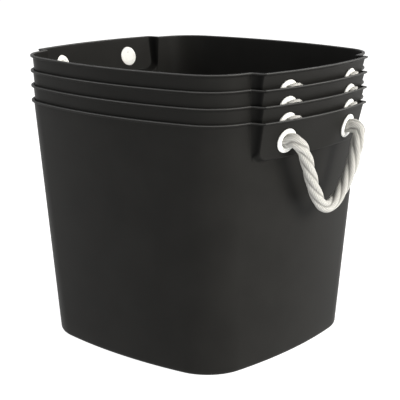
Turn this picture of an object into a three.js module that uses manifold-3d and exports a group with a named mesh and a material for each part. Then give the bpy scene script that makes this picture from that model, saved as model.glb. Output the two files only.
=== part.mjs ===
// A stack of four nested storage bins with rope handles. Millimetres, +Z up.
// The origin is the centre of the lowest bin's base, on the surface it stands on.
// The handles are on the +X and -X sides; each bin sits PITCH above the one below.
import * as THREE from "three";
import { mergeVertices } from "three/addons/utils/BufferGeometryUtils.js";
import Module from "manifold-3d";

const wasm = await Module();
wasm.setup();

// Stack
const BINS = 4;
const PITCH = 14;
const GAP = 0.3;

// Bin body: a square with bowed sides and round corners, drafted from rim to base
const HEIGHT = 231;
const RIM = { half: 133, bow: 386, corner: 41 };
const BASE = { half: 115.4, bow: 462, corner: 44 };
const WALL = 0.7;
const FLOOR = 1.6;
const FOOT_INSET = 3.4;
const FOOT_RISE = 4;
const HEEL_SHARE = 0.3;
const LIP_PROUD = 2.2;
const LIP_THICK = 2;
const FLAT_WITHIN = 0.01;
const CUT_ABOVE = 1;
const SIDE_STEPS = 4;
const CORNER_STEPS = 4;

// Handle panel: the raised strip under the rim on the two handle sides
const PANEL_RIM = 145.5;
const PANEL_DRAFT = 0.23;
const PANEL_BOW = 340;
const PANEL_HALF = 78;
const PANEL_TAPER = 0.08;
const PANEL_DEPTH = 35.2;
const PANEL_CORNER = 10;
const PANEL_END_RUN = 0.15;
const PANEL_ROOT = 112;
const PANEL_STEPS = 8;
const PANEL_CORNER_STEPS = 3;

// Grommets: one pair on each panel, square to the panel's face
const GROMMET_Y = 47;
const GROMMET_DROP = 18.7;
const FLANGE_RADIUS = 11.2;
const FLANGE_PROUD = 1.9;
const FLANGE_EDGE = 1;
const MOUTH_FLARE = 1.4;
const MOUTH_DEPTH = 0.9;
const BARREL_RADIUS = 9.55;
const BORE_RADIUS = 6.35;
const ROUND_STEPS = 14;
const HOLE_CUT = 8;

// Rope
const ROPE_RADIUS = 6;
const ROPE_SIDES = 8;
const ROPE_STEPS = 24;
const PIVOT_RADIUS = 5.9;
const PIVOT_RINGS = 6;

// The hanging handle, from one grommet to the other: out from the mouth, along Y, up.
const HANGING_ROUTE = [
  [8.6, -47, 0],
  [10.4, -43.4, -2.4],
  [11, -38.8, -6.5],
  [10.9, -34.1, -13.5],
  [10.4, -29.1, -22.5],
  [9.9, -23.9, -33],
  [9.3, -17.9, -44.3],
  [8.8, -10.8, -55],
  [8.6, -3.3, -63.6],
  [8.6, 6.4, -67.4],
  [9.1, 15.3, -65],
  [9.6, 24.6, -58],
  [10.4, 32.4, -48],
  [12.1, 37.6, -37],
  [13, 41.5, -26],
  [13.3, 44.9, -15],
  [13, 47.4, -7.2],
  [11.8, 48.5, -2.6],
  [8.6, 47, 0],
];

// A nested bin's handle, pressed flat between two panels. Each station is
// [out from the panel, along Y, up from the mouths, half thickness, half width].
const PRESSED_BAR = [
  [-1.8, -36, -23.1, 1.8, 3.5],
  [-1.8, -30, -23.1, 3.5, 6],
  [-1.8, 0, -23.1, 3.5, 6],
  [-1.8, 30, -23.1, 3.5, 6],
  [-1.6, 48, -23.1, 3.3, 6],
  [-1.4, 63, -23.1, 2.9, 5],
  [-1.3, 69, -23.1, 1.4, 2.5],
];
const PRESSED_SHOULDER = [
  [3.9, -46.5, 6.3, 1.2, 1.1],
  [4, -42, 6.7, 1.7, 1.4],
  [3.7, -38.7, 6.5, 1.4, 1.3],
  [1.45, -35.2, 6, 0.75, 1],
  [1.3, -31.5, 3.2, 0.7, 1],
  [1.3, -28, 1.5, 0.7, 0.9],
];
const PRESSED_STRAP = [
  [1.2, -28, -24, 0.85, 5.5],
  [1.2, -28, -16, 0.85, 6.5],
  [1.2, -28, -2, 0.85, 6.5],
  [1.2, -28.5, 3, 0.85, 3.5],
];

const PLASTIC = { color: 0x2f2f2e, roughness: 0.62, metalness: 0 };
const NYLON = { color: 0xf4f3ef, roughness: 0.4, metalness: 0 };
const ROPE = { color: 0xe6e3da, roughness: 0.95, metalness: 0 };

// Solids and booleans
function manifoldOf(geometry) {
  const bare = geometry.clone();
  bare.deleteAttribute("normal");
  bare.deleteAttribute("uv");
  const merged = mergeVertices(bare, 1e-4);
  return new wasm.Manifold(
    new wasm.Mesh({
      numProp: 3,
      vertProperties: merged.attributes.position.array,
      triVerts: new Uint32Array(merged.index.array),
    }),
  );
}

function geometryOf(manifold) {
  const mesh = manifold.getMesh();
  const geometry = new THREE.BufferGeometry();
  const positions = new THREE.BufferAttribute(new Float32Array(mesh.vertProperties), 3);
  geometry.setAttribute("position", positions);
  geometry.setIndex(new THREE.BufferAttribute(new Uint32Array(mesh.triVerts), 1));
  geometry.computeVertexNormals();
  return geometry;
}

// A closed solid through rings of equal length, each running anticlockwise seen from its end.
function loft(rings) {
  const count = rings[0].length;
  const points = rings.flat();
  const faces = [];
  for (let i = 0; i + 1 < rings.length; i++) {
    for (let j = 0; j < count; j++) {
      const a = i * count + j;
      const b = i * count + ((j + 1) % count);
      faces.push(a, b, b + count);
      faces.push(a, b + count, a + count);
    }
  }
  const first = points.length;
  points.push(middle(rings[0]), middle(rings.at(-1)));
  const top = (rings.length - 1) * count;
  for (let j = 0; j < count; j++) {
    const next = (j + 1) % count;
    faces.push(first, next, j);
    faces.push(first + 1, top + j, top + next);
  }
  const geometry = new THREE.BufferGeometry().setFromPoints(points);
  geometry.setIndex(faces);
  return geometry;
}

function middle(ring) {
  const sum = ring.reduce((total, p) => total.add(p), new THREE.Vector3());
  return sum.divideScalar(ring.length);
}

// Bin body
// One quarter runs from the middle of one side, round the corner, to the middle of the next.
function bodyOutline({ half, bow, corner }) {
  const away = half - bow;
  const reach = bow - corner;
  const centre = (away + Math.sqrt(2 * reach * reach - away * away)) / 2;
  const turn = Math.atan2(centre, centre - away);
  const quarter = [];
  for (let i = 0; i < SIDE_STEPS; i++) {
    const angle = (turn * i) / SIDE_STEPS;
    quarter.push([away + bow * Math.cos(angle), bow * Math.sin(angle)]);
  }
  for (let i = 0; i <= CORNER_STEPS; i++) {
    const angle = turn + ((Math.PI / 2 - 2 * turn) * i) / CORNER_STEPS;
    quarter.push([centre + corner * Math.cos(angle), centre + corner * Math.sin(angle)]);
  }
  for (let i = SIDE_STEPS - 1; i > 0; i--) {
    const angle = (turn * i) / SIDE_STEPS;
    quarter.push([bow * Math.sin(angle), away + bow * Math.cos(angle)]);
  }
  const loop = [];
  for (let q = 0; q < 4; q++) {
    const c = Math.round(Math.cos((q * Math.PI) / 2));
    const s = Math.round(Math.sin((q * Math.PI) / 2));
    for (const [x, y] of quarter) loop.push([c * x - s * y, s * x + c * y]);
  }
  return loop;
}

function inset(outline, by) {
  return { half: outline.half - by, bow: outline.bow - by, corner: outline.corner - by };
}

function ringAt(outline, z) {
  return bodyOutline(outline).map(([x, y]) => new THREE.Vector3(x, y, z));
}

// The straight wall between the base outline and the rim outline, at height z.
function wallRing(by, z) {
  const low = ringAt(inset(BASE, by), 0);
  const high = ringAt(inset(RIM, by), HEIGHT);
  return low.map((p, i) => p.lerp(high[i], z / HEIGHT));
}

function bodySolid(by, floor, top) {
  const foot = inset(BASE, by + FOOT_INSET);
  const heel = inset(BASE, by + FOOT_INSET * HEEL_SHARE);
  return loft([
    ringAt(foot, floor),
    ringAt(heel, floor + FOOT_RISE * HEEL_SHARE),
    wallRing(by, floor + FOOT_RISE),
    wallRing(by, HEIGHT).map((p) => p.setZ(top)),
  ]);
}

// Handle panel
function panelFace(y, depth) {
  const bowed = PANEL_BOW - Math.sqrt(PANEL_BOW * PANEL_BOW - y * y);
  return PANEL_RIM - PANEL_DRAFT * depth - bowed;
}

// Seen from above: along the face, then down each slanted end into the bin's body.
function panelRing(by, depth, half, z) {
  const end = half - by * (1 - Math.sin(Math.atan(PANEL_END_RUN)));
  const ring = [];
  const foot = end + (panelFace(end, depth) - by - PANEL_ROOT) * PANEL_END_RUN;
  ring.push(new THREE.Vector3(PANEL_ROOT, -foot, z));
  for (let i = 0; i <= PANEL_STEPS; i++) {
    const y = -end + (2 * end * i) / PANEL_STEPS;
    ring.push(new THREE.Vector3(panelFace(y, depth) - by, y, z));
  }
  ring.push(new THREE.Vector3(PANEL_ROOT, foot, z));
  return ring;
}

function panelSolid(by, top) {
  const depth = PANEL_DEPTH - by;
  const corner = PANEL_CORNER - by;
  const rings = [];
  for (let i = 0; i <= PANEL_CORNER_STEPS; i++) {
    const angle = (Math.PI / 2) * (1 - i / PANEL_CORNER_STEPS);
    const d = depth - corner * (1 - Math.sin(angle));
    const half = PANEL_HALF - PANEL_TAPER * d - corner * (1 - Math.cos(angle));
    rings.push(panelRing(by, d, half, HEIGHT - d));
  }
  rings.push(panelRing(by, 0, PANEL_HALF, HEIGHT).map((p) => p.setZ(top)));
  return loft(rings);
}

function lipSolid() {
  const ring = (z) => ringAt(inset(RIM, -LIP_PROUD), z);
  return loft([ring(HEIGHT - LIP_THICK), ring(HEIGHT)]);
}

function lipPanelSolid() {
  const ring = (z) => panelRing(-LIP_PROUD, 0, PANEL_HALF, z);
  return loft([ring(HEIGHT - LIP_THICK), ring(HEIGHT)]);
}

function halfTurn(manifold) {
  return manifold.rotate([0, 0, 180]);
}

// A round mouth's place on the +X panel: its centre on the face and its outward normal.
function mouth(side) {
  const y = side * GROMMET_Y;
  const slope = y / Math.sqrt(PANEL_BOW * PANEL_BOW - y * y);
  return {
    centre: new THREE.Vector3(panelFace(y, GROMMET_DROP), y, HEIGHT - GROMMET_DROP),
    normal: new THREE.Vector3(1, slope, -PANEL_DRAFT).normalize(),
  };
}

// Turns a shape made about Y, with its base at the panel's face, to sit in a mouth.
function toMouth(geometry, side) {
  const { centre, normal } = mouth(side);
  const turn = new THREE.Quaternion().setFromUnitVectors(new THREE.Vector3(0, 1, 0), normal);
  return geometry.applyQuaternion(turn).translate(centre.x, centre.y, centre.z);
}

function shellGeometry() {
  const panel = manifoldOf(panelSolid(0, HEIGHT));
  const lipPanel = manifoldOf(lipPanelSolid());
  const outer = manifoldOf(bodySolid(0, 0, HEIGHT))
    .add(panel)
    .add(halfTurn(panel))
    .add(manifoldOf(lipSolid()))
    .add(lipPanel)
    .add(halfTurn(lipPanel));
  const above = HEIGHT + CUT_ABOVE;
  const innerPanel = manifoldOf(panelSolid(WALL, above));
  let made = outer
    .subtract(manifoldOf(bodySolid(WALL, FLOOR, above)))
    .subtract(innerPanel)
    .subtract(halfTurn(innerPanel));
  for (const side of [-1, 1]) {
    const radius = BARREL_RADIUS + GAP;
    const cutter = manifoldOf(
      toMouth(new THREE.CylinderGeometry(radius, radius, HOLE_CUT, ROUND_STEPS), side),
    );
    made = made.subtract(cutter).subtract(halfTurn(cutter));
  }
  return geometryOf(made.simplify(FLAT_WITHIN));
}

// Grommet: a rounded flange outside the panel and a barrel through it, bored for the rope
function grommetGeometry(side) {
  const profile = [
    [BORE_RADIUS, -WALL],
    [BARREL_RADIUS, -WALL],
    [BARREL_RADIUS, GAP],
    [FLANGE_RADIUS, GAP],
    [FLANGE_RADIUS - FLANGE_EDGE, FLANGE_PROUD],
    [BORE_RADIUS + MOUTH_FLARE, FLANGE_PROUD],
    [BORE_RADIUS, FLANGE_PROUD - MOUTH_DEPTH],
    [BORE_RADIUS, -WALL],
  ].map(([radius, out]) => new THREE.Vector2(radius, out));
  return toMouth(new THREE.LatheGeometry(profile, ROUND_STEPS), side);
}

// Plug: the rope's bound end, held in the grommet's bore
function plugGeometry(side) {
  const radius = BORE_RADIUS - GAP;
  const long = WALL + FLANGE_PROUD;
  const plug = new THREE.CylinderGeometry(radius, radius, long, ROUND_STEPS);
  plug.translate(0, long / 2 - WALL, 0);
  return toMouth(plug, side);
}

// Hanging handle: a tube along its route with a round end at each pivot
function handleGeometry() {
  const base = mouth(1).centre;
  const points = HANGING_ROUTE.map(
    ([out, y, up]) => new THREE.Vector3(base.x + out, y, base.z + up),
  );
  const path = new THREE.CatmullRomCurve3(points, false, "centripetal");
  const section = new THREE.Shape();
  for (let i = 0; i < ROPE_SIDES; i++) {
    const angle = (2 * Math.PI * i) / ROPE_SIDES;
    const [x, y] = [ROPE_RADIUS * Math.cos(angle), ROPE_RADIUS * Math.sin(angle)];
    if (i) section.lineTo(x, y);
    else section.moveTo(x, y);
  }
  const tube = new THREE.ExtrudeGeometry(section, { steps: ROPE_STEPS, extrudePath: path });
  let handle = manifoldOf(tube);
  for (const end of [points[0], points.at(-1)]) {
    const ball = new THREE.SphereGeometry(PIVOT_RADIUS, ROPE_SIDES, PIVOT_RINGS);
    handle = handle.add(manifoldOf(ball.translate(end.x, end.y, end.z)));
  }
  return geometryOf(handle);
}

// Trapped handle: a bar in the pocket under the panel, and a strap and shoulder at each mouth
function pressedRope(stations, along) {
  const wide = new THREE.Vector3(0, along.z, -along.y);
  const rings = stations.map(([out, y, up, thick, width]) => {
    const ring = [];
    for (let i = 0; i < ROPE_SIDES; i++) {
      const angle = (2 * Math.PI * (i + 0.5)) / ROPE_SIDES;
      const across = thick * Math.cos(angle);
      const spread = width * Math.sin(angle);
      const py = y + spread * wide.y;
      const pz = up + spread * wide.z;
      const x = panelFace(py, GROMMET_DROP - pz) + out + across;
      ring.push(new THREE.Vector3(x, py, HEIGHT - GROMMET_DROP + pz));
    }
    return ring;
  });
  return manifoldOf(loft(rings));
}

function trappedGeometry() {
  const acrossY = new THREE.Vector3(0, 1, 0);
  const upZ = new THREE.Vector3(0, 0, 1);
  let rope = pressedRope(PRESSED_BAR, acrossY);
  for (const along of [0, 2 * GROMMET_Y]) {
    const beside = ([out, y, ...rest]) => [out, y + along, ...rest];
    rope = rope.add(pressedRope(PRESSED_SHOULDER.map(beside), acrossY));
    rope = rope.add(pressedRope(PRESSED_STRAP.map(beside), upZ));
  }
  return geometryOf(rope);
}

// Assembly
const stack = new THREE.Group();

function add(name, geometry, look, level, turned) {
  const mesh = new THREE.Mesh(geometry, new THREE.MeshStandardMaterial(look));
  mesh.name = name;
  mesh.position.z = level * PITCH;
  if (turned) mesh.rotation.z = Math.PI;
  stack.add(mesh);
}

const shell = shellGeometry();
const hanging = handleGeometry();
const trapped = trappedGeometry();
for (let level = 0; level < BINS; level++) {
  const bin = "bin_" + (level + 1);
  add(bin + "_shell", shell, PLASTIC, level, false);
  for (const face of ["px", "nx"]) {
    const turned = face === "nx";
    for (const side of [-1, 1]) {
      const tag = face + (side < 0 ? "_a" : "_b");
      add(bin + "_grommet_" + tag, grommetGeometry(side), NYLON, level, turned);
      add(bin + "_plug_" + tag, plugGeometry(side), NYLON, level, turned);
    }
    add(bin + "_rope_" + face, level ? trapped : hanging, ROPE, level, turned);
  }
}

export default stack;
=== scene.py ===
"""A stack of four nested storage bins with rope handles. Metres, +Z up, in the CAD frame.

Lengths named below are in millimetres, as in the part's own source, and become metres where a
mesh is made. The handles are on the +X ("px") and -X ("nx") sides, and "a" and "b" are a panel's
two grommets. Heights in a bin count from its own base, and a nested bin is moved up as a whole.
"""

import math

import bpy
import numpy as np
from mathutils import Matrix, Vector


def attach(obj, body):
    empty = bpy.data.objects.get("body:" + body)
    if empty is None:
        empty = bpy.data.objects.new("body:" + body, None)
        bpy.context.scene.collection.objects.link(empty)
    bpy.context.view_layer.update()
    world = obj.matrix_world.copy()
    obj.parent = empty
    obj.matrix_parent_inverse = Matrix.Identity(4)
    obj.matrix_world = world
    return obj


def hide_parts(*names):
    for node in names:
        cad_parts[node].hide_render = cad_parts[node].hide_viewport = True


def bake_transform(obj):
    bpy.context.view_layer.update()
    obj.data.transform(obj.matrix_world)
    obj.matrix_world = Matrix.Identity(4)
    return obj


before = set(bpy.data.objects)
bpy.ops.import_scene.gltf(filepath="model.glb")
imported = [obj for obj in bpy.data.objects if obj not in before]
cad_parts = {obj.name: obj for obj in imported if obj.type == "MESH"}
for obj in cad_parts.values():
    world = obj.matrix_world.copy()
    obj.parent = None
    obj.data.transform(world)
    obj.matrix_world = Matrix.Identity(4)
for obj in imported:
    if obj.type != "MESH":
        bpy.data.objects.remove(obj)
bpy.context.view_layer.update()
scene = bpy.context.scene
scene.view_settings.view_transform = "Standard"
scene.view_settings.gamma = 0.86

MM = 0.001

# Stack
BINS = 4
PITCH = 14

# Bin body: its outlines at rim and base as half width, radius of the bowed sides, corner radius
HEIGHT = 231
RIM = (133, 386, 41)
BASE = (115.4, 462, 44)
WALL = 0.7
FLOOR = 1.6
FOOT_INSET = 3.4
FOOT_RISE = 4

# The lip's section, from the outer wall round the edge to the inner wall: in, up from the rim
LIP = [
    (0, -3.0),
    (-0.12, -2.6),
    (-0.45, -2.25),
    (-1.0, -2.05),
    (-1.6, -2.0),
    (-2.0, -1.8),
    (-2.2, -1.4),
    (-2.2, -0.7),
    (-2.05, -0.3),
    (-1.7, -0.05),
    (-1.2, 0.0),
    (-0.2, 0.0),
    (0.3, -0.06),
    (0.6, -0.3),
    (WALL, -0.7),
]

# Handle panel: the raised strip under the rim on the two handle sides
PANEL_RIM = 145.5
PANEL_DRAFT = 0.23
PANEL_BOW = 340
PANEL_HALF = 78
PANEL_TAPER = 0.08
PANEL_DEPTH = 35.2
PANEL_CORNER = 10
PANEL_END_RUN = 0.15
PANEL_END_ROUND = 0.9
PANEL_LEDGE_ROUND = 1.6
# A panel lies within these places: further out in X than the first, nearer in Y than the second
PANEL_BEYOND_X = 60
PANEL_WITHIN_Y = 100

# Grommets and plugs
GROMMET_Y = 47
GROMMET_DROP = 18.7
HOLE_RADIUS = 9.85
HOLE_CUT = 5
BARREL_RADIUS = 9.55
BORE_RADIUS = 6.3
FLANGE_RADIUS = 11.2
FLANGE_INNER = 6.1
FLANGE_EDGE = 0.45
FLANGE_CROWN = 2.1
FLANGE_STEPS = 14
PLUG_RADIUS = 6.2
PLUG_FACE = -0.1
PLUG_BACK = -0.65

# Rope: its lay is the length of a strand's full turn, and its step the length of a mesh ring
ROPE_RADIUS = 6
ROPE_LAY = 74
ROPE_SIDES = 64
ROPE_STEP = 1.0

# Four strands, as shares of the rope's radius: a strand's own radius, how far its middle is from
# the rope's, and how far the grooves are. A pressed rope keeps the last share of their depth.
STRAND_SIZE = 0.54
STRAND_OFF = 0.46
GROOVE_SHARE = 0.756
PRESSED_RELIEF = 0.4

# The rope is thickest a little way outside the mouths, and slimmer inside the bores
SWELL = 0.75
SWELL_AT = 10
SWELL_SPREAD = 5
NECK = 0.25
NECK_ENDS = (1, 4)

# The hanging handle's route between its two hinge pivots: out from the mouth, along Y, up
HANGING_ROUTE = [
    (8.6, -47, 0),
    (10.4, -43.4, -2.4),
    (11, -38.8, -6.5),
    (10.9, -34.1, -13.5),
    (10.4, -29.1, -22.5),
    (9.9, -23.9, -33),
    (9.3, -17.9, -44.3),
    (8.8, -10.8, -55),
    (8.6, -3.3, -63.6),
    (8.6, 6.4, -67.4),
    (9.1, 15.3, -65),
    (9.6, 24.6, -58),
    (10.4, 32.4, -48),
    (12.1, 37.6, -37),
    (13, 41.5, -26),
    (13.3, 44.9, -15),
    (13, 47.4, -7.2),
    (11.8, 48.5, -2.6),
    (8.6, 47, 0),
]

# Near the grommets the rope leaves that route: it starts inside each bore and arches through
# these places. At OUT_OF_BORE it is out of the bore, about level with the flange.
IN_BORE = 0.05
OUT_OF_BORE = 2.6
OUT_OF_BORE_RISE = 0.3
FIRST_ARCH = (6.2, -46.4, 0.9)
LAST_ARCH = (6.2, 47.6, 0.6)

# A nested bin's handle, pressed flat between two panels. It leaves each mouth over the rim of
# the bin below, runs down as a flat strap beside the grommet and lies in the pocket under the panel:
# out from the panel, along Y, up from the mouths, half thickness, half width.
PRESSED_MOUTH = [
    (0.3, -47, 3, 1.7, 2.4),
    (2.3, -46.8, 5, 1.5, 1.6),
    (3.9, -45.2, 6.3, 1.4, 1.2),
    (4.2, -41.9, 6.5, 1.7, 1.35),
    (3.7, -38.6, 6.3, 1.4, 1.2),
    (1.6, -35.4, 5.9, 0.85, 1.1),
    (1.3, -32, 3.4, 0.75, 2),
    (1.25, -29, -2, 0.85, 5),
    (1.2, -28, -9, 0.85, 6.4),
    (1.1, -28, -15, 0.9, 6.3),
]
PRESSED_POCKET = [
    (-0.5, -26.4, -20.3, 2, 5.8),
    (-1.7, -21, -23.1, 3.3, 6),
    (-1.8, -10, -23.1, 3.5, 6),
    (-1.8, 10, -23.1, 3.5, 6),
    (-1.8, 30, -23.1, 3.5, 6),
    (-1.6, 48, -23.1, 3.3, 6),
    (-1.45, 59, -23, 2.9, 5.4),
    (-0.5, 64.4, -20.3, 1.9, 5.4),
]


# ---- Camera -------------------------------------------------------------------------------

# It looks at AIM from this azimuth, counted from -Y towards +X. Metres, and millimetres for LENS.
AZIMUTH = math.radians(40.224)
ELEVATION = math.radians(14.635)
DISTANCE = 1.1359
AIM = Vector((0, 0, 0.1155))
SENSOR = 36
LENS = 103.795
SHIFT = (0.00252, 0.03162)

camera_data = bpy.data.cameras.new("camera")
camera_data.sensor_width = SENSOR
camera_data.lens = LENS
camera_data.shift_x, camera_data.shift_y = SHIFT
camera = bpy.data.objects.new("camera", camera_data)
scene.collection.objects.link(camera)
scene.camera = camera
back = Vector(
    (
        math.sin(AZIMUTH) * math.cos(ELEVATION),
        -math.cos(AZIMUTH) * math.cos(ELEVATION),
        math.sin(ELEVATION),
    )
)
camera.location = AIM + back * DISTANCE
camera.rotation_mode = "QUATERNION"
camera.rotation_quaternion = (-back).to_track_quat("-Z", "Y")


# ---- Meshes -------------------------------------------------------------------------------


def mesh_from(name, points, faces, material, sharp=35):
    """A smooth mesh of points in millimetres, with edges over `sharp` degrees kept crisp."""
    mesh = bpy.data.meshes.new(name)
    mesh.from_pydata([tuple(MM * c for c in p) for p in points], [], faces)
    mesh.materials.append(material)
    mesh.update()
    mesh.shade_smooth()
    mesh.set_sharp_from_angle(angle=math.radians(sharp))
    return mesh


def place(name, mesh, body, slot, *nodes, level=0):
    """An object of that mesh, `level` steps up the stack, which stands for the CAD nodes."""
    piece = bpy.data.objects.new(name, mesh)
    scene.collection.objects.link(piece)
    piece.location.z = level * PITCH * MM
    if body:
        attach(piece, body)
    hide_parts(*nodes)
    return piece


def half_turn(points):
    """The points on the opposite handle side."""
    return np.asarray(points, float) * (-1, -1, 1)


def quads(rings, around):
    """Faces between successive closed rings of `around` points each."""
    faces = []
    for i in range(rings - 1):
        for j in range(around):
            a = i * around + j
            b = i * around + (j + 1) % around
            faces.append((a, b, b + around, a + around))
    return faces


def fans(rings, around):
    """Faces that close the first and the last ring to the two points listed after the rings."""
    last = (rings - 1) * around
    first_middle = rings * around
    faces = []
    for j in range(around):
        k = (j + 1) % around
        faces.append((k, j, first_middle))
        faces.append((last + j, last + k, first_middle + 1))
    return faces


def smooth_fall(x, start, end):
    """1 before start, 0 after end, and an S-curve between them."""
    t = np.clip((x - start) / (end - start), 0, 1)
    return 1 - t * t * (3 - 2 * t)


def panel_face(y, depth):
    """How far out the panel's face stands, at a place along Y and a depth under the rim."""
    return PANEL_RIM - PANEL_DRAFT * depth - (PANEL_BOW - np.sqrt(PANEL_BOW**2 - y**2))


# ---- Bin shell ----------------------------------------------------------------------------


def outline(half, bow, corner, side, end, bend):
    """The bin's plan: bowed sides and round corners, anticlockwise from the middle of +X.

    side, end and bend are the places along a handle side, a plain side and a corner, 0 to 1.
    """
    away = half - bow
    reach = bow - corner
    centre = (away + math.sqrt(2 * reach**2 - away**2)) / 2
    turn = math.atan2(centre, centre - away)
    t, c, e = turn * side, turn + (math.pi / 2 - 2 * turn) * bend, turn * end
    x_parts = [away + bow * np.cos(t), centre + corner * np.cos(c), bow * np.sin(e)[::-1]]
    y_parts = [bow * np.sin(t), centre + corner * np.sin(c), (away + bow * np.cos(e))[::-1]]
    # the quarter from +X to +Y, then its mirror images, without doubled points
    first = np.stack([np.concatenate(x_parts), np.concatenate(y_parts)], 1)
    second = (first * (-1, 1))[::-1][1:]
    upper = np.concatenate([first, second])
    lower = (upper * (1, -1))[::-1][1:-1]
    return np.concatenate([upper, lower])


# Places along a quarter of the outline, closest together at the panel's end
SIDE_PLACES = np.concatenate(
    [
        np.linspace(0, 0.7, 24, endpoint=False),
        np.linspace(0.7, 0.8, 12, endpoint=False),
        np.linspace(0.8, 0.9, 32, endpoint=False),
        np.linspace(0.9, 0.98, 6),
    ]
)
END_PLACES = np.linspace(0, 1, 14, endpoint=False)
BEND_PLACES = np.linspace(0, 1, 22)


def shell_ring(by, z):
    """The bin's outline at height z, `by` inside its outer face, panels included."""
    low = outline(*(v - by for v in BASE), SIDE_PLACES, END_PLACES, BEND_PLACES)
    high = outline(*(v - by for v in RIM), SIDE_PLACES, END_PLACES, BEND_PLACES)
    ring = low + (high - low) * (z / HEIGHT)
    x, y = ring[:, 0].copy(), ring[:, 1]
    depth = max(HEIGHT - z, 0)

    # how far each point is outside the panel's edge, which has round lower corners
    wide = PANEL_HALF - PANEL_TAPER * depth - by * (1 - math.sin(math.atan(PANEL_END_RUN)))
    corner = PANEL_CORNER - by
    across = np.abs(y) - (wide - corner)
    down = depth - (PANEL_DEPTH - by - corner)
    past_x, past_z = np.maximum(across, 0), max(down, 0)
    outside = np.hypot(past_x, past_z) + np.minimum(np.maximum(across, down), 0) - corner

    # 0 at the panel's ends, 1 at the ledge under it
    under = past_z**2 / np.maximum(past_x**2 + past_z**2, 1e-9)
    face = panel_face(np.clip(y, -PANEL_WITHIN_Y, PANEL_WITHIN_Y), depth) - by
    rise = face - np.abs(x)
    run = (1 - under) * PANEL_END_RUN * rise
    margin = PANEL_END_ROUND + (PANEL_LEDGE_ROUND - PANEL_END_ROUND) * under
    lift = np.maximum(rise * smooth_fall(outside, -margin, run + margin), 0)
    on_side = (np.abs(x) > PANEL_BEYOND_X) & (np.abs(y) < PANEL_WITHIN_Y)
    x += np.sign(x) * np.where(on_side, lift, 0)
    return np.stack([x, y, np.full_like(x, z)], 1)


def recess_shade_mask(points):
    """Where shade is painted: 1 in the narrow corner at each end of a panel, fading to 0 on the
    panel and the wall.
    """
    middle, spread = 0.2, 0.95
    fade_above, fade_below = 5, 2
    depth = HEIGHT - points[:, 2]
    past = np.abs(points[:, 1]) - (PANEL_HALF - PANEL_TAPER * depth)
    along = np.exp(-(((past - middle) / spread) ** 2))
    down = smooth_fall(depth, PANEL_DEPTH - fade_above, PANEL_DEPTH + fade_below)
    return along * (np.abs(points[:, 0]) > PANEL_BEYOND_X) * down


def foot_inset(height):
    """How far the rounded foot stands in from the wall, at a height above the floor."""
    part = 1 - min(height / FOOT_RISE, 1)
    return FOOT_INSET * (1 - math.sqrt(1 - part * part))


# Heights of the shell's rings: the rounded foot, then the wall, close together at the ledge
FOOT_HEIGHTS = [0, 0.12, 0.4, 0.9, 1.6, 2.6, FOOT_RISE]
WALL_HEIGHTS = [
    *np.linspace(FOOT_RISE, 192.6, 16)[1:],
    *np.arange(193.2, 198.8, 0.36),
    *np.arange(198.9, 208, 0.7),
    *np.linspace(209, 227.4, 8),
]
# Each flat end of the shell closes through rings that shrink to one middle point
SHRINK = [0.985, 0.93, 0.8, 0.6, 0.35, 0.12]


def shell_mesh(material):
    """One bin's shell: up the outside, round the lip and down the inside, with its holes."""
    inside = [z for z in WALL_HEIGHTS if z > FLOOR + FOOT_RISE]
    rings = [shell_ring(foot_inset(z), z) for z in FOOT_HEIGHTS]
    rings += [shell_ring(0, z) for z in WALL_HEIGHTS]
    rings += [shell_ring(by, HEIGHT + up) for by, up in LIP]
    rings += [shell_ring(WALL, z) for z in reversed(inside)]
    rings += [shell_ring(WALL + foot_inset(z), z + FLOOR) for z in reversed(FOOT_HEIGHTS)]
    underside = [rings[0] * (s, s, 1) for s in reversed(SHRINK)]
    floor = [rings[-1] * (s, s, 1) for s in SHRINK]
    rings = underside + rings + floor
    around = len(rings[0])
    points = np.concatenate(rings + [[(0, 0, 0), (0, 0, FLOOR)]])
    faces = quads(len(rings), around) + fans(len(rings), around)
    mesh = mesh_from("shell", points, faces, material)
    # a mask for the painted shade in the narrow corners at the panels' ends
    recess_shade = mesh.attributes.new("recess_shade", "FLOAT", "POINT")
    recess_shade.data.foreach_set("value", recess_shade_mask(points).astype(np.float32))
    return cut_holes(mesh)


def mouth(side):
    """The middle of a round mouth on the +X panel, and the two directions across it and out."""
    y = side * GROMMET_Y
    centre = np.array([panel_face(y, GROMMET_DROP), y, HEIGHT - GROMMET_DROP])
    out = np.array([1, y / math.sqrt(PANEL_BOW**2 - y**2), -PANEL_DRAFT])
    out /= np.linalg.norm(out)
    across = np.cross((0, 0, 1), out)
    across /= np.linalg.norm(across)
    return centre, across, np.cross(out, across), out


def turned(profile, around, side):
    """Rings of a profile (radius, out) turned about a mouth's axis."""
    centre, across, up, out = mouth(side)
    angles = np.linspace(0, 2 * math.pi, around, endpoint=False)
    circle = np.outer(np.cos(angles), across) + np.outer(np.sin(angles), up)
    return [centre + radius * circle + height * out for radius, height in profile]


def cut_holes(mesh):
    """The shell with its four grommet holes."""
    around = 64
    points, faces = [], []
    for flip in (False, True):
        for side in (-1, 1):
            rings = turned([(HOLE_RADIUS, -HOLE_CUT), (HOLE_RADIUS, HOLE_CUT)], around, side)
            base = len(points)
            both = np.concatenate(rings)
            points.extend(half_turn(both) if flip else both)
            faces += [tuple(base + v for v in f) for f in quads(2, around)]
            faces.append(tuple(base + v for v in range(around))[::-1])
            faces.append(tuple(base + around + v for v in range(around)))
    drill = mesh_from("cutter", points, faces, mesh.materials[0])
    cutter = bpy.data.objects.new("cutter", drill)
    target = bpy.data.objects.new("target", mesh)
    scene.collection.objects.link(cutter)
    scene.collection.objects.link(target)
    boolean = target.modifiers.new("holes", "BOOLEAN")
    boolean.operation = "DIFFERENCE"
    boolean.solver = "EXACT"
    boolean.object = cutter
    graph = bpy.context.evaluated_depsgraph_get()
    made = bpy.data.meshes.new_from_object(target.evaluated_get(graph))
    made.name = "shell_with_holes"
    bpy.data.objects.remove(target)
    bpy.data.objects.remove(cutter)
    made.shade_smooth()
    made.set_sharp_from_angle(angle=math.radians(38))
    return made


# ---- Grommets and plugs -------------------------------------------------------------------


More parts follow.
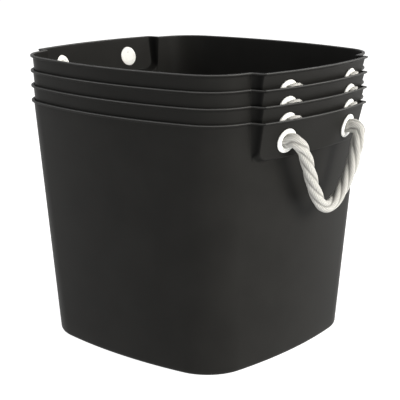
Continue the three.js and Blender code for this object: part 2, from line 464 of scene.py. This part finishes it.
def grommet_profile():
    """Radius and height of the section: a barrel through the wall and a full-round flange."""
    back, chamfer = -WALL - 0.05, 0.2
    profile = [(BORE_RADIUS, back), (BARREL_RADIUS - 0.25, back), (BARREL_RADIUS, back + chamfer)]
    profile += [(BARREL_RADIUS, 0.1), (10.7, 0.06), (11.0, 0.1)]
    middle = (FLANGE_RADIUS + FLANGE_INNER) / 2
    reach = (FLANGE_RADIUS - FLANGE_INNER) / 2
    fullness = 0.8
    for i in range(FLANGE_STEPS + 1):
        angle = math.pi * i / FLANGE_STEPS
        high = FLANGE_EDGE + (FLANGE_CROWN - FLANGE_EDGE) * math.sin(angle) ** fullness
        profile.append((middle + reach * math.cos(angle), high))
    profile += [(6.12, -0.1), (BORE_RADIUS, -0.3)]
    return profile


def ring_mesh(name, profile, side, flip, material, around=72):
    """A closed section turned about a mouth's axis."""
    rings = turned(profile + profile[:1], around, side)
    points = np.concatenate(rings[:-1])
    if flip:
        points = half_turn(points)
    count = len(points)
    faces = [tuple(v % count for v in f) for f in quads(len(rings), around)]
    return mesh_from(name, points, faces, material, sharp=50)


def plug_mesh(name, side, flip, material, around=64):
    """The closed end in the bore: slightly dished inside the bin, flat where the rope starts."""
    profile = [(1.5, -0.66), (3.5, -0.68), (5.4, -0.72), (6.0, -0.7), (PLUG_RADIUS, -0.55)]
    profile += [(PLUG_RADIUS, -0.25), (6.0, -0.12), (4.0, PLUG_FACE), (1.5, PLUG_FACE)]
    rings = turned(profile, around, side)
    centre, _, _, out = mouth(side)
    points = np.concatenate(rings + [[centre + PLUG_BACK * out, centre + PLUG_FACE * out]])
    if flip:
        points = half_turn(points)
    faces = quads(len(profile), around) + fans(len(profile), around)
    return mesh_from(name, points, faces, material, sharp=50)


# ---- Ropes --------------------------------------------------------------------------------


def spline(points, step):
    """Points about `step` apart on a centripetal Catmull-Rom curve through the points.

    Returns them and each one's distance along the curve. Columns past the first three go along.
    """
    fine = 40
    p = np.asarray(points, float)
    ends = [2 * p[0] - p[1], *p, 2 * p[-1] - p[-2]]
    found = []
    for i in range(1, len(ends) - 2):
        p0, p1, p2, p3 = ends[i - 1], ends[i], ends[i + 1], ends[i + 2]
        t1 = np.linalg.norm((p1 - p0)[:3]) ** 0.5
        t2 = t1 + np.linalg.norm((p2 - p1)[:3]) ** 0.5
        t3 = t2 + np.linalg.norm((p3 - p2)[:3]) ** 0.5
        for t in np.linspace(t1, t2, fine, endpoint=False):
            a1 = (t1 - t) / t1 * p0 + t / t1 * p1
            a2 = (t2 - t) / (t2 - t1) * p1 + (t - t1) / (t2 - t1) * p2
            a3 = (t3 - t) / (t3 - t2) * p2 + (t - t2) / (t3 - t2) * p3
            b1 = (t2 - t) / t2 * a1 + t / t2 * a2
            b2 = (t3 - t) / (t3 - t1) * a2 + (t - t1) / (t3 - t1) * a3
            found.append((t2 - t) / (t2 - t1) * b1 + (t - t1) / (t2 - t1) * b2)
    found.append(p[-1])
    found = np.array(found)
    gaps = np.linalg.norm(np.diff(found[:, :3], axis=0), axis=1)
    along = np.concatenate([[0], np.cumsum(gaps)])
    places = np.linspace(0, along[-1], int(round(along[-1] / step)) + 1)
    columns = [np.interp(places, along, column) for column in found.T]
    return np.stack(columns, 1), places


def unit_tangents(line):
    tangents = np.gradient(line, axis=0)
    return tangents / np.linalg.norm(tangents, axis=1)[:, None]


def strand_radius(angle):
    """The section of four laid strands, as a share of the rope's radius."""
    near = (angle + math.pi / 4) % (math.pi / 2) - math.pi / 4
    depth = np.sqrt(STRAND_SIZE**2 - (STRAND_OFF * np.sin(near)) ** 2)
    return STRAND_OFF * np.cos(near) + depth


def rope_mesh(name, line, along, wide, thin, widths, thicks, flip, material, relief=1.0):
    """A four-strand rope along a line, with the two directions and half sizes of its sections.

    relief is the share of the strands' depth that is left.
    """
    angles = np.linspace(0, 2 * math.pi, ROPE_SIDES, endpoint=False)
    rings, shares = [], []
    for c, s, w, t, half_w, half_t in zip(line, along, wide, thin, widths, thicks):
        share = 1 - relief * (1 - strand_radius(angles + 2 * math.pi * s / ROPE_LAY))
        across = np.outer(share * np.cos(angles) * half_w, w)
        through = np.outer(share * np.sin(angles) * half_t, t)
        rings.append(c + across + through)
        shares.append(share)
    points = np.concatenate(rings + [[line[0], line[-1]]])
    if flip:
        points = half_turn(points)
    faces = quads(len(rings), ROPE_SIDES) + fans(len(rings), ROPE_SIDES)
    mesh = mesh_from(name, points, faces, material, sharp=80)
    mesh.uv_layers.new(name="rope").data.foreach_set("uv", rope_uv(faces, along))

    # 0 in a groove of the full depth, 1 on a strand's crown; the rope's material paints shade into
    # the grooves by it
    crown = mesh.attributes.new("crown", "FLOAT", "POINT")
    height = (np.concatenate(shares + [[1, 1]]) - GROOVE_SHARE) / (1 - GROOVE_SHARE)
    crown.data.foreach_set("value", height.astype(np.float32))
    return mesh


def rope_uv(faces, along):
    """Each face corner's place along the rope in centimetres, and round it in turns."""
    mm_in_cm = 10
    values = []
    for face in faces:
        if len(face) == 4:
            i, j = divmod(face[0], ROPE_SIDES)
            for di, dj in ((0, 0), (0, 1), (1, 1), (1, 0)):
                values.append((along[i + di] / mm_in_cm, (j + dj) / ROPE_SIDES))
        else:
            values.extend([(0, 0)] * 3)
    return np.array(values, np.float32).ravel()


def hanging_mesh(name, flip, material):
    """The hanging handle, from the plug in one bore to the plug in the other, and its line."""
    ends = []
    for side in (-1, 1):
        middle, _, _, out = mouth(side)
        ends.append([middle - IN_BORE * out, middle + OUT_OF_BORE * out + (0, 0, OUT_OF_BORE_RISE)])
    level = mouth(1)[0] * (1, 0, 1)
    hung = [level + point for point in (FIRST_ARCH, *HANGING_ROUTE[1:-1], LAST_ARCH)]
    line, along = spline(ends[0] + hung + ends[1][::-1], ROPE_STEP)
    tangents = unit_tangents(line)

    # carry one direction along the rope without twisting it
    across = np.cross(tangents[0], (0, 0, 1))
    wide = []
    for tangent in tangents:
        across = across - tangent * (across @ tangent)
        across = across / np.linalg.norm(across)
        wide.append(across)
    thin = np.cross(tangents, wide)
    from_end = np.minimum(along, along[-1] - along)
    swell = np.exp(-(((from_end - SWELL_AT) / SWELL_SPREAD) ** 2))
    radius = ROPE_RADIUS + SWELL * swell - NECK * smooth_fall(from_end, *NECK_ENDS)
    mesh = rope_mesh(name, line, along, wide, thin, radius, radius, flip, material)
    return mesh, (half_turn(line) if flip else line) * MM


def pressed_mesh(name, flip, material):
    """A nested bin's handle, pressed flat between its panel and the next one."""
    other = [(o, y + 2 * GROMMET_Y, *rest) for o, y, *rest in PRESSED_MOUTH[::-1]]
    route = np.array(PRESSED_MOUTH + PRESSED_POCKET + other)
    along_y_first = [1, 2, 0, 3, 4]
    stations, along = spline(route[:, along_y_first], ROPE_STEP)
    y, up, out, half_t, half_w = stations.T
    x = panel_face(y, GROMMET_DROP - up) + out
    line = np.stack([x, y, HEIGHT - GROMMET_DROP + up], 1)
    tangents = unit_tangents(line)
    outward = np.stack([np.ones_like(y), y / PANEL_BOW, np.full_like(y, -PANEL_DRAFT)], 1)
    wide = np.cross(tangents, outward)
    wide /= np.linalg.norm(wide, axis=1)[:, None]
    thin = np.cross(tangents, wide)
    return rope_mesh(name, line, along, wide, thin, half_w, half_t, flip, material, PRESSED_RELIEF)


# ---- Materials ----------------------------------------------------------------------------


class Nodes:
    """A new node material, and short calls to add nodes to it and join them."""

    def __init__(self, name):
        self.material = bpy.data.materials.new(name)
        self.material.use_nodes = True
        self.tree = self.material.node_tree
        self.shader = self.tree.nodes["Principled BSDF"]

    def add(self, kind, values=(), **settings):
        node = self.tree.nodes.new("ShaderNode" + kind)
        for key, value in settings.items():
            setattr(node, key, value)
        for key, value in dict(values).items():
            node.inputs[key].default_value = value
        return node

    def join(self, out, to):
        self.tree.links.new(out, to)

    def ramp(self, source, low, high, first, second):
        """The first colour where the source is up to low, the second where it is over high."""
        node = self.add("ValToRGB")
        node.color_ramp.elements[0].position = low
        node.color_ramp.elements[1].position = high
        node.color_ramp.elements[0].color = (*first, 1)
        node.color_ramp.elements[1].color = (*second, 1)
        self.join(source, node.inputs["Fac"])
        return node.outputs["Color"]

    def times(self, a, b):
        """Two colours multiplied."""
        node = self.add("Mix", data_type="RGBA", blend_type="MULTIPLY")
        colours = [i for i in node.inputs if i.type == "RGBA"]
        node.inputs["Factor"].default_value = 1
        self.join(a, colours[0])
        self.join(b, colours[1])
        return next(o for o in node.outputs if o.type == "RGBA")

    def bump(self, height, strength, distance, normal=None):
        node = self.add("Bump", {"Strength": strength, "Distance": distance})
        self.join(height, node.inputs["Height"])
        if normal:
            self.join(normal, node.inputs["Normal"])
        return node.outputs["Normal"]

    def finish(self, **values):
        for key, value in values.items():
            self.shader.inputs[key.replace("_", " ")].default_value = value
        return self.material


UNCHANGED = (1.0, 1.0, 1.0)


def charcoal_plastic():
    """Moulded polypropylene: a fine eroded grain, faint flow mottling, a smoother lip with a
    painted highlight along its top edge, and painted shade in the corners at the panels' ends.
    """
    dark_skin, pale_skin = (0.0226, 0.0221, 0.0207), (0.0264, 0.0259, 0.0242)
    highlight_gain, shade_tint = (4.7, 4.8, 5.05), (0.3, 0.3, 0.3)
    lip_from, lip_to = MM * (HEIGHT - 1.0), MM * (HEIGHT - 0.5)
    n = Nodes("charcoal_plastic")
    where = n.add("TexCoord").outputs["Object"]
    mottle = n.add("TexNoise", {"Scale": 28, "Detail": 3, "Roughness": 0.5})
    grain = n.add("TexNoise", {"Scale": 1500, "Detail": 2, "Roughness": 0.6})
    cells = n.add("TexVoronoi", {"Scale": 950}, feature="SMOOTH_F1")
    for node in (mottle, grain, cells):
        n.join(where, node.inputs["Vector"])
    skin = n.ramp(mottle.outputs["Fac"], 0.35, 0.7, dark_skin, pale_skin)
    height = n.add("SeparateXYZ")
    n.join(where, height.inputs["Vector"])
    lip = n.add("MapRange", {"From Min": lip_from, "From Max": lip_to})
    n.join(height.outputs["Z"], lip.inputs["Value"])
    # painted highlight: the top of the lip is painted several times lighter, standing for the light
    # its rounded edge catches
    painted_lip_highlight = n.ramp(lip.outputs["Result"], 0.0, 1.0, UNCHANGED, highlight_gain)
    # painted shade: the narrow corners at the panels' ends are dimmed to three tenths, standing for
    # the shade there
    recess_shade = n.add("Attribute", attribute_name="recess_shade").outputs["Fac"]
    painted_recess_shade = n.ramp(recess_shade, 0.0, 1.0, UNCHANGED, shade_tint)
    n.join(n.times(n.times(skin, painted_lip_highlight), painted_recess_shade), n.shader.inputs["Base Color"])

    # the roughness follows the mottling, and the lip is smoother
    rough = n.add("MapRange", {"To Min": 0.40, "To Max": 0.48})
    n.join(mottle.outputs["Fac"], rough.inputs["Value"])
    smoother = n.add("MapRange", {"To Min": 1.0, "To Max": 0.6})
    n.join(lip.outputs["Result"], smoother.inputs["Value"])
    both = n.add("Math", operation="MULTIPLY")
    n.join(rough.outputs["Result"], both.inputs[0])
    n.join(smoother.outputs["Result"], both.inputs[1])
    n.join(both.outputs["Value"], n.shader.inputs["Roughness"])
    fine = n.bump(grain.outputs["Fac"], 0.12, 0.0002)
    n.join(n.bump(cells.outputs["Distance"], 0.1, 0.0002, fine), n.shader.inputs["Normal"])
    return n.finish(Specular_IOR_Level=0.08)


def white_plastic():
    """Smooth white nylon with a slight moulded ripple."""
    low, high = (0.90, 0.90, 0.87), (0.94, 0.94, 0.91)
    n = Nodes("white_plastic")
    where = n.add("TexCoord").outputs["Object"]
    ripple = n.add("TexNoise", {"Scale": 220, "Detail": 2})
    fine = n.add("TexNoise", {"Scale": 1800, "Detail": 2})
    for node in (ripple, fine):
        n.join(where, node.inputs["Vector"])
    n.join(n.ramp(ripple.outputs["Fac"], 0.3, 0.7, low, high), n.shader.inputs["Base Color"])
    soft = n.bump(ripple.outputs["Fac"], 0.06, 0.0005)
    n.join(n.bump(fine.outputs["Fac"], 0.04, 0.0002, soft), n.shader.inputs["Normal"])
    return n.finish(Roughness=0.38)


def cotton_rope():
    """Laid cotton: fine yarns along the rope with painted shade between them, painted shade in the
    grooves between strands, a soft fuzz.
    """
    painted_groove_shade, on_crown = (0.31, 0.303, 0.285), (0.64, 0.632, 0.604)
    in_patch, shaded_yarn_gaps = (0.94, 0.94, 0.935), (0.80, 0.795, 0.78)
    n = Nodes("cotton_rope")
    unrolled = n.add("UVMap", uv_map="rope").outputs["UV"]
    where = n.add("TexCoord").outputs["Object"]
    yarns = n.add(
        "TexWave",
        {"Scale": 8.6, "Distortion": 1.6, "Detail": 2, "Detail Scale": 2.5},
        bands_direction="Y",
    )
    n.join(unrolled, yarns.inputs["Vector"])
    fuzz = n.add("TexNoise", {"Scale": 2600, "Detail": 3, "Roughness": 0.7})
    patch = n.add("TexNoise", {"Scale": 140, "Detail": 2})
    for node in (fuzz, patch):
        n.join(where, node.inputs["Vector"])
    crown = n.add("Attribute", attribute_name="crown").outputs["Fac"]
    # painted shade: the grooves between strands are painted at about half the crowns' tone
    strands = n.ramp(crown, 0.0, 0.6, painted_groove_shade, on_crown)
    tint = n.ramp(patch.outputs["Fac"], 0.3, 0.7, in_patch, UNCHANGED)
    # painted shade in the lines between the yarns
    yarn_line_shade = n.ramp(yarns.outputs["Fac"], 0.0, 0.5, shaded_yarn_gaps, UNCHANGED)
    n.join(n.times(n.times(strands, tint), yarn_line_shade), n.shader.inputs["Base Color"])
    lines = n.bump(yarns.outputs["Fac"], 0.55, 0.0008)
    n.join(n.bump(fuzz.outputs["Fac"], 0.25, 0.0003, lines), n.shader.inputs["Normal"])
    return n.finish(Roughness=0.92, Sheen_Weight=0.25, Sheen_Roughness=0.5, Specular_IOR_Level=0.25)


# ---- The object ---------------------------------------------------------------------------

plastic = charcoal_plastic()
white = white_plastic()
cotton = cotton_rope()

# The hanging handles come first; they are placed without a body.
for face in ("px", "nx"):
    flip = face == "nx"
    name = "hanging_handle_" + face
    mesh, route = hanging_mesh(name, flip, cotton)
    handle = place(name, mesh, None, "cotton_rope", "bin_1_rope_" + face)
    mouth_x, _, mouth_z = mouth(-1)[0]
    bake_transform(handle)

shell = shell_mesh(plastic)
pressed = {}
for face in ("px", "nx"):
    pressed[face] = pressed_mesh("pressed_" + face, face == "nx", cotton)
small = {}
for face in ("px", "nx"):
    for side, tag in ((-1, "a"), (1, "b")):
        flip = face == "nx"
        grommet = "grommet_" + face + "_" + tag
        plug = "plug_" + face + "_" + tag
        small[grommet] = ring_mesh(grommet, grommet_profile(), side, flip, white)
        small[plug] = plug_mesh(plug, side, flip, white)

for level in range(BINS):
    body = "bin_%d" % (level + 1)
    place(body + "_tub", shell, body, "charcoal_plastic", body + "_shell", level=level)
    for label, mesh in small.items():
        node = body + "_" + label
        place(node + "_fine", mesh, body, "white_plastic", node, level=level)
    if level:
        for face in ("px", "nx"):
            node = body + "_rope_" + face
            place(node + "_fine", pressed[face], body, "cotton_rope", node, level=level)


# ---- Floor and light ----------------------------------------------------------------------

FLOOR_HALF = 12000
FLOOR_DROP = 0.2


def floor_material():
    """Grey paint that glows, so that the floor comes out as white as the sky at the horizon."""
    low, high = (0.30, 0.30, 0.30), (0.31, 0.31, 0.31)
    n = Nodes("floor_paint")
    where = n.add("TexCoord").outputs["Object"]
    cloud = n.add("TexNoise", {"Scale": 3, "Detail": 2})
    n.join(where, cloud.inputs["Vector"])
    n.join(n.ramp(cloud.outputs["Fac"], 0.3, 0.7, low, high), n.shader.inputs["Base Color"])
    return n.finish(
        Roughness=0.9,
        Specular_IOR_Level=0.1,
        Emission_Color=(1, 1, 1, 1),
        Emission_Strength=0.97,
    )


corners = [(-1, -1), (1, -1), (1, 1), (-1, 1)]
floor_points = [(FLOOR_HALF * x, FLOOR_HALF * y, -FLOOR_DROP) for x, y in corners]
floor_mesh = mesh_from("floor", floor_points, [(0, 1, 2, 3)], floor_material())
floor = bpy.data.objects.new("floor", floor_mesh)
scene.collection.objects.link(floor)


def studio_world():
    """A sky that is white near the horizon and dim above, by the height of its direction."""
    white_to, dim_from, dim = 0.04, 0.16, 0.2
    world = bpy.data.worlds.new("studio")
    world.use_nodes = True
    tree = world.node_tree
    sky = tree.nodes["Background"]
    ray = tree.nodes.new("ShaderNodeTexCoord")
    split = tree.nodes.new("ShaderNodeSeparateXYZ")
    fade = tree.nodes.new("ShaderNodeValToRGB")
    tree.links.new(ray.outputs["Generated"], split.inputs["Vector"])
    tree.links.new(split.outputs["Z"], fade.inputs["Fac"])
    tree.links.new(fade.outputs["Color"], sky.inputs["Color"])
    fade.color_ramp.elements[0].position = white_to
    fade.color_ramp.elements[0].color = (1, 1, 1, 1)
    fade.color_ramp.elements[1].position = dim_from
    fade.color_ramp.elements[1].color = (dim, dim, dim, 1)
    sky.inputs["Strength"].default_value = 1
    return world


def softbox(name, at, toward, width, height, power, colour=(1, 1, 1)):
    """A soft rectangular lamp that faces a point. Metres and watts."""
    data = bpy.data.lights.new(name, "AREA")
    data.shape = "RECTANGLE"
    data.size, data.size_y = width, height
    data.energy = power
    data.color = colour
    lamp = bpy.data.objects.new(name, data)
    scene.collection.objects.link(lamp)
    lamp.location = at
    lamp.rotation_mode = "QUATERNION"
    lamp.rotation_quaternion = (Vector(toward) - Vector(at)).to_track_quat("-Z", "Y")


scene.world = studio_world()
softbox("key", (2.3, 0.3, 1.0), (0, 0, 0.15), 1.5, 1.3, 57, (1.0, 0.975, 0.925))
softbox("fill", (0.2, -2.4, 0.7), (0, 0, 0.15), 1.5, 1.0, 6)
softbox("high_left", (-1.4, -0.8, 1.75), (0, 0, 0.2), 0.8, 0.8, 19)
softbox("high_right", (0.7, 1.6, 1.5), (0, 0, 0.2), 0.8, 0.8, 22)
